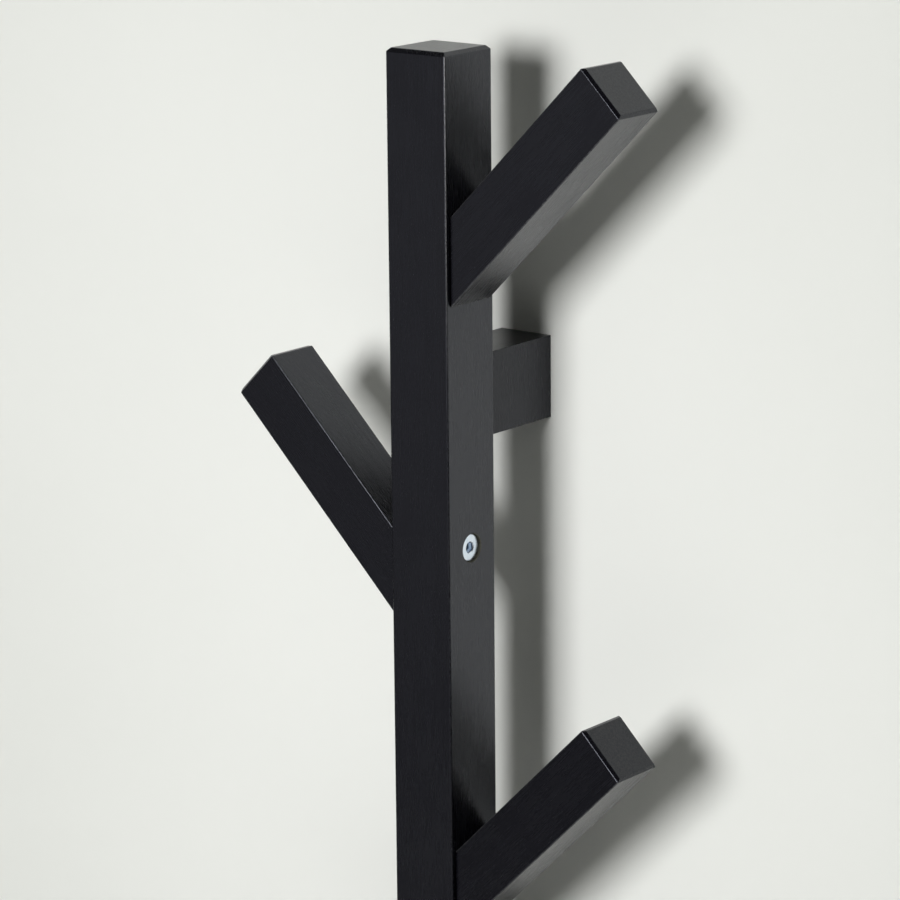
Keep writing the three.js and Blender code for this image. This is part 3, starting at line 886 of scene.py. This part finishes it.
def screw_mesh(length, head_radius):
    """A countersunk wood screw along +X with a cross recess."""
    edge = 0.15 * MM
    head = 1.6 * MM
    shank_radius = 1.5 * MM
    point = 3.0 * MM
    profile = [
        (0, 0),
        (0, head_radius - edge),
        (edge, head_radius),
        (2 * edge, head_radius),
        (head, shank_radius),
        (length - point, shank_radius),
        (length, 0),
    ]
    bm = bmesh.new()
    lathe(bm, profile, ORIGIN, RIGHT, HIDDEN_SIDES)
    made = object_from(bm, "screw_pattern")
    wing_depth = 1.3 * MM
    wing_length = 3.4 * MM
    wing_width = 0.6 * MM
    floor_share = 0.45  # how much of the recess's height is left at its floor
    for width, height in ((wing_width, wing_length), (wing_length, wing_width)):
        wing = bmesh.new()
        bmesh.ops.create_cube(wing, size=1)
        for vert in wing.verts:
            outside = vert.co.x < 0
            vert.co.x = -PAST if outside else wing_depth
            vert.co.y *= width
            vert.co.z *= height if outside else height * floor_share
        cut(made, object_from(wing, "wing"))
    mesh = made.data
    bpy.data.objects.remove(made)
    return mesh


def make_screws(material):
    low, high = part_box("keyhole_screw_left")
    mesh = screw_mesh(high.y - low.y, (high.x - low.x) / 2)
    finish_mesh(mesh, "plate_screw", material)
    for node in ("keyhole_screw_left", "keyhole_screw_right"):
        place_turned(node, mesh, head_start(node, -TO_WALL), -TO_WALL)


def glide_mesh(low, high):
    """A push-in glide along +X: a domed pad with a raised ring, and a barbed pin."""
    radius = (high.x - low.x) / 2
    height = high.z - low.z
    hollow = 0.5 * MM
    edge = 0.9 * MM
    pad = 4.7 * MM
    pad_edge = 0.5 * MM
    pin = 1.5 * MM
    hollow_radius = radius * 0.3
    ring_radius = radius * 0.38
    profile = [(hollow, 0), (hollow, hollow_radius), (0, ring_radius)]
    profile += arc(edge, radius - edge, edge, 180, 90)
    profile += [(pad - pad_edge, radius), (pad, radius - pad_edge), (pad, pin)]
    barbs = 4
    barb_step = 0.1 * MM
    barb_depth = 0.25 * MM
    barb_length = 1.6 * MM
    plain_end = 2.0 * MM
    barb_from, barb_to = pad + plain_end, height - plain_end
    for step in range(barbs):
        along = barb_from + (barb_to - barb_from) * step / barbs
        profile += [(along, pin), (along + barb_step, pin - barb_depth), (along + barb_length, pin)]
    profile += [(height - pin, pin), (height, 0)]
    bm = bmesh.new()
    lathe(bm, profile, ORIGIN, RIGHT, ROUND_SIDES)
    mesh = bpy.data.meshes.new("glide")
    bm.to_mesh(mesh)
    bm.free()
    return mesh


def make_glides(material):
    mesh = glide_mesh(*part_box("glide_left"))
    finish_mesh(mesh, "glide", material)
    for node in ("glide_left", "glide_right", "glide_front", "glide_back"):
        start = head_start(node, UP) + UP * FLOOR_CLEARANCE
        place_turned(node, mesh, start, UP)


def paint_node(node, material):
    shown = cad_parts[node]
    shown.data.materials.clear()
    shown.data.materials.append(material)


def finish_hidden_nodes():
    """The sleeves, dowels and the keyhole plate keep their solids and get finished materials."""
    steel = plate_steel()
    sleeves = [f"peg_{peg['number']}_insert" for peg in pegs] + ["spacer_insert", "foot_insert"]
    for node in ["keyhole_plate"] + sleeves:
        paint_node(node, steel)
    beech_along_x = beech("beech_along_x", (0.08, 1, 1))
    beech_along_y = beech("beech_along_y", (1, 0.08, 1))
    beech_along_z = beech("beech_along_z", (1, 1, 0.08))
    for peg in pegs:
        paint_node(f"peg_{peg['number']}_dowel", beech_along_x)
    paint_node("spacer_dowel", beech_along_y)
    paint_node("foot_dowel_front", beech_along_z)
    paint_node("foot_dowel_back", beech_along_z)


# ---------------------------------------------------------------- stage, light and camera

WALL_PAINTED_LIGHT_MIDDLE = (0.878, 0.888, 0.853, 1)  # the wall's colour at the middle of a painted pool of light, behind the rack's upper end
# the wall's colour away from the painted pool of light
WALL_PAINTED_LIGHT_EDGE = (0.745, 0.758, 0.718, 1)
WALL_PAINTED_LIGHT_AT = Vector((-0.11, 0, 1.58))
WALL_PAINTED_LIGHT_FADE = 0.75  # how far from there the painted pool of light fades out
WALL_GAP = 0.05 * MM  # between the spacer's back and the wall
WALL_TOP = 3.0
STAGE_SIDE = 2.4  # how far the wall and the floor reach to each side, and the floor to front and back
OPENING_INSET = 0.3 * MM  # the wall's opening is this much smaller all round than the spacer
FLOOR_PAINT = (0.61, 0.61, 0.595, 1)
FLOOR_PAINT_PALE = (0.66, 0.66, 0.64, 1)
BACKDROP_RADIUS = 14
BACKDROP_TONE = (0.78, 0.785, 0.775, 1)
KEY_DISTANCE = 4.5  # the key light, in front of the rack
KEY_RISE = 0.875  # the key light's middle, above the height that the camera aims at
KEY_WIDTH = 1.64
KEY_LENGTH = 2.16
KEY_TILT = math.radians(46.7)  # of its long axis from upright, towards +X
KEY_POWER = 190
SHEEN_AT = Vector((-2.3, -2.9, 1.6))  # a card that only shows in the paint's gloss
SHEEN_WIDTH = 1.7
SHEEN_HEIGHT = 2.6
SHEEN_POWER = 3.05
FLOOR_LIGHT_AT = Vector((0, -0.6, 3.4))  # falls on the floor only
FLOOR_LIGHT_SIZE = 2.5
FLOOR_LIGHT_POWER = 59
BOLT_LIGHT_AT = Vector((1.1, -1.3, 2.1))  # reaches into the bolts' sockets, and lights nothing else
BOLT_LIGHT_SIZE = 0.4
BOLT_LIGHT_POWER = 22
BACK_LIGHT_AT = Vector((1.0, 1.6, 1.6))  # behind the wall, for the keyhole plate and what is around it
BACK_LIGHT_SIZE = 1.2
BACK_LIGHT_POWER = 4
FILL = 0.075  # even light from all round
FILL_IN_GLOSS = 0.035  # the room is darker where the paint mirrors it
FILL_COLOUR = (0.99, 1.0, 0.93, 1)
CAMERA_AZIMUTH = math.radians(38.61)
CAMERA_ELEVATION = math.radians(13.62)
CAMERA_ROLL = math.radians(-0.54)
CAMERA_DISTANCE = 2.3173
CAMERA_LENS = 152.2
CAMERA_SENSOR = 36
CAMERA_CLIP = (0.05, 60)
AIM_RIGHT = 5.95 * MM  # the camera aims this far to the right of the post's axis,
AIM_DROP = 246.4 * MM  # and this far below its top


def wall_fields(edges_x, edges_z, y):
    """The eight fields of a wall around an opening, which is hidden behind the spacer."""
    fields = []
    for column, (left, right) in enumerate(zip(edges_x, edges_x[1:])):
        for row, (low, high) in enumerate(zip(edges_z, edges_z[1:])):
            if (column, row) != (1, 1):
                fields.append([(left, y, low), (right, y, low), (right, y, high), (left, y, high)])
    return fields


def flat_object(name, fields, material):
    """A flat mesh of four-cornered fields."""
    corners = [corner for field in fields for corner in field]
    faces = [tuple(range(first, first + 4)) for first in range(0, len(corners), 4)]
    mesh = bpy.data.meshes.new(name)
    mesh.from_pydata(corners, [], faces)
    mesh.materials.append(material)
    made = bpy.data.objects.new(name, mesh)
    bpy.context.scene.collection.objects.link(made)
    return made


def one_sided_surface(tree, inputs):
    """A surface that is clear when seen from behind, so that the rack can be seen from there too."""
    shader = add(tree, "ShaderNodeBsdfPrincipled", inputs)
    clear = add(tree, "ShaderNodeBsdfTransparent")
    behind = add(tree, "ShaderNodeNewGeometry").outputs["Backfacing"]
    both = add(tree, "ShaderNodeMixShader", {0: behind, 1: shader.outputs[0], 2: clear.outputs[0]})
    add(tree, "ShaderNodeOutputMaterial", {0: both.outputs[0]})


def wall_material():
    """Matt pale wall paint, with a painted pool of light in its colour."""
    material, tree = new_tree("wall_paint")
    even = object_coordinates(tree)
    roller = noise(tree, even, scale=420, detail=3.0)
    cloud = noise(tree, even, scale=3.0, detail=2.0)
    # painted light: the colour is brightest around one point and darker with distance from it
    coordinates = add(tree, "ShaderNodeTexCoord").outputs["Object"]
    away = add(tree, "ShaderNodeVectorMath", {0: coordinates, 1: WALL_PAINTED_LIGHT_AT}, operation="DISTANCE")
    away = math_node(tree, "ADD", away.outputs["Value"], remap(tree, cloud, 0.3, 0.7, -0.04, 0.04))
    inputs = {"Value": away, "From Max": WALL_PAINTED_LIGHT_FADE}
    fade = add(tree, "ShaderNodeMapRange", inputs, interpolation_type="SMOOTHSTEP")
    tint = blend_colours(tree, fade.outputs[0], WALL_PAINTED_LIGHT_MIDDLE, WALL_PAINTED_LIGHT_EDGE)
    relief = bump(tree, roller, strength=0.06, distance=0.3 * MM)
    inputs = {"Base Color": tint, "Roughness": 0.9, "Normal": relief, "Specular IOR Level": 0.2}
    one_sided_surface(tree, inputs)
    return material


def floor_material():
    """Plain pale floor paint."""
    material, tree = new_tree("floor_paint")
    even = object_coordinates(tree)
    cloud = noise(tree, even, scale=5.0, detail=3.0)
    tint = blend_colours(tree, remap(tree, cloud, 0.3, 0.7), FLOOR_PAINT, FLOOR_PAINT_PALE)
    one_sided_surface(tree, {"Base Color": tint, "Roughness": 0.7, "Specular IOR Level": 0.3})
    return material


def backdrop_material():
    material, tree = new_tree("backdrop_glow")
    glow = add(tree, "ShaderNodeEmission", {"Color": BACKDROP_TONE, "Strength": 1.0})
    add(tree, "ShaderNodeOutputMaterial", {0: glow.outputs[0]})
    return material


def make_backdrop():
    """A pale sphere around everything, which only the camera sees."""
    bm = bmesh.new()
    bmesh.ops.create_uvsphere(bm, u_segments=48, v_segments=24, radius=BACKDROP_RADIUS)
    backdrop = object_from(bm, "backdrop")
    backdrop.data.materials.append(backdrop_material())
    backdrop.visible_diffuse = False
    backdrop.visible_glossy = False
    backdrop.visible_transmission = False
    backdrop.visible_shadow = False


def make_stage():
    edges_x = (-STAGE_SIDE, spacer_low.x + OPENING_INSET, spacer_high.x - OPENING_INSET, STAGE_SIDE)
    edges_z = (0, spacer_low.z + OPENING_INSET, spacer_high.z - OPENING_INSET, WALL_TOP)
    flat_object("wall", wall_fields(edges_x, edges_z, wall_y + WALL_GAP), wall_material())
    corners = [(-STAGE_SIDE, -STAGE_SIDE, 0), (STAGE_SIDE, -STAGE_SIDE, 0)]
    corners += [(STAGE_SIDE, STAGE_SIDE, 0), (-STAGE_SIDE, STAGE_SIDE, 0)]
    floor = flat_object("floor", [corners], floor_material())
    make_backdrop()
    return floor


def area_light(name, place, power, width, height=None, shape="SQUARE"):
    data = bpy.data.lights.new(name, "AREA")
    data.shape = shape
    data.size = width
    data.size_y = height or width
    data.energy = power
    light = bpy.data.objects.new(name, data)
    bpy.context.scene.collection.objects.link(light)
    light.location = place
    return light


def aim(light, point):
    light.rotation_euler = (point - light.location).to_track_quat("-Z", "Y").to_euler()


def only_on(light, receivers, in_gloss=False):
    """Lets a light fall on some objects only. `in_gloss` says whether it also shows in their gloss."""
    group = bpy.data.collections.new(f"lit_by_{light.name}")
    for receiver in receivers:
        group.objects.link(receiver)
    light.light_linking.receiver_collection = group
    light.visible_glossy = in_gloss


def make_lights(floor, bolts):
    key = area_light("key", ORIGIN, KEY_POWER, KEY_WIDTH, KEY_LENGTH, "ELLIPSE")
    place = Matrix.Translation((0, -KEY_DISTANCE, post_high.z - AIM_DROP + KEY_RISE))
    facing_wall = Matrix.Rotation(math.pi / 2, 4, "X")
    key.matrix_world = place @ facing_wall @ Matrix.Rotation(-KEY_TILT, 4, "Z")

    sheen = area_light("sheen_card", SHEEN_AT, SHEEN_POWER, SHEEN_WIDTH, SHEEN_HEIGHT, "RECTANGLE")
    aim(sheen, Vector((0, 0, SHEEN_AT.z)))
    sheen.visible_diffuse = False

    floor_light = area_light("floor_light", FLOOR_LIGHT_AT, FLOOR_LIGHT_POWER, FLOOR_LIGHT_SIZE)
    only_on(floor_light, [floor])

    bolt_light = area_light("bolt_light", BOLT_LIGHT_AT, BOLT_LIGHT_POWER, BOLT_LIGHT_SIZE)
    aim(bolt_light, Vector((half_post, 0, pegs[1]["bolt_z"])))
    only_on(bolt_light, bolts)

    back_light = area_light("back_light", BACK_LIGHT_AT, BACK_LIGHT_POWER, BACK_LIGHT_SIZE)
    aim(back_light, spacer_high)
    fixing = ["wall_spacer_body", "spacer_bolt_body", "keyhole_screw_left_body", "keyhole_screw_right_body"]
    fixing = [bpy.data.objects[name] for name in fixing] + [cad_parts["keyhole_plate"]]
    only_on(back_light, fixing, in_gloss=True)


def make_fill():
    world = bpy.data.worlds.new("fill")
    world.use_nodes = True
    tree = world.node_tree
    in_gloss = add(tree, "ShaderNodeLightPath").outputs["Is Glossy Ray"]
    background = tree.nodes["Background"]
    background.inputs["Color"].default_value = FILL_COLOUR
    level = remap(tree, in_gloss, 0, 1, FILL, FILL_IN_GLOSS)
    tree.links.new(level, background.inputs["Strength"])
    bpy.context.scene.world = world


def make_camera():
    data = bpy.data.cameras.new("camera")
    data.sensor_width = CAMERA_SENSOR
    data.lens = CAMERA_LENS
    data.clip_start, data.clip_end = CAMERA_CLIP
    camera = bpy.data.objects.new("camera", data)
    bpy.context.scene.collection.objects.link(camera)
    level = math.cos(CAMERA_ELEVATION)
    back = Vector(
        (math.sin(CAMERA_AZIMUTH) * level, -math.cos(CAMERA_AZIMUTH) * level, math.sin(CAMERA_ELEVATION))
    )
    across = (-back).cross(UP).normalized()
    upward = across.cross(-back)
    roll_cos, roll_sin = math.cos(CAMERA_ROLL), math.sin(CAMERA_ROLL)
    camera_right = across * roll_cos + upward * roll_sin
    camera_up = upward * roll_cos - across * roll_sin
    place = Matrix.Identity(4)
    for column, axis in enumerate((camera_right, camera_up, back)):
        for row in range(3):
            place[row][column] = axis[row]
    target = Vector((AIM_RIGHT, 0, post_high.z - AIM_DROP))
    place.translation = target + back * CAMERA_DISTANCE
    camera.matrix_world = place
    bpy.context.scene.camera = camera
    bpy.context.scene.view_settings.view_transform = "Standard"
    bpy.context.scene.view_settings.look = "None"


# ---------------------------------------------------------------- the rack

make_camera()
bare_wood = raw_wood()
make_post(bare_wood)
for facts in pegs:
    make_peg(facts, bare_wood)
make_spacer(bare_wood)
make_foot_bar("foot_long_bar", 0, bare_wood)
make_foot_bar("foot_cross_bar", 1, bare_wood)
all_bolts = make_bolts(zinc("zinc_bolt"))
make_screws(zinc("zinc_screw"))
make_glides(glide_plastic())
finish_hidden_nodes()
make_lights(make_stage(), all_bolts)
make_fill()
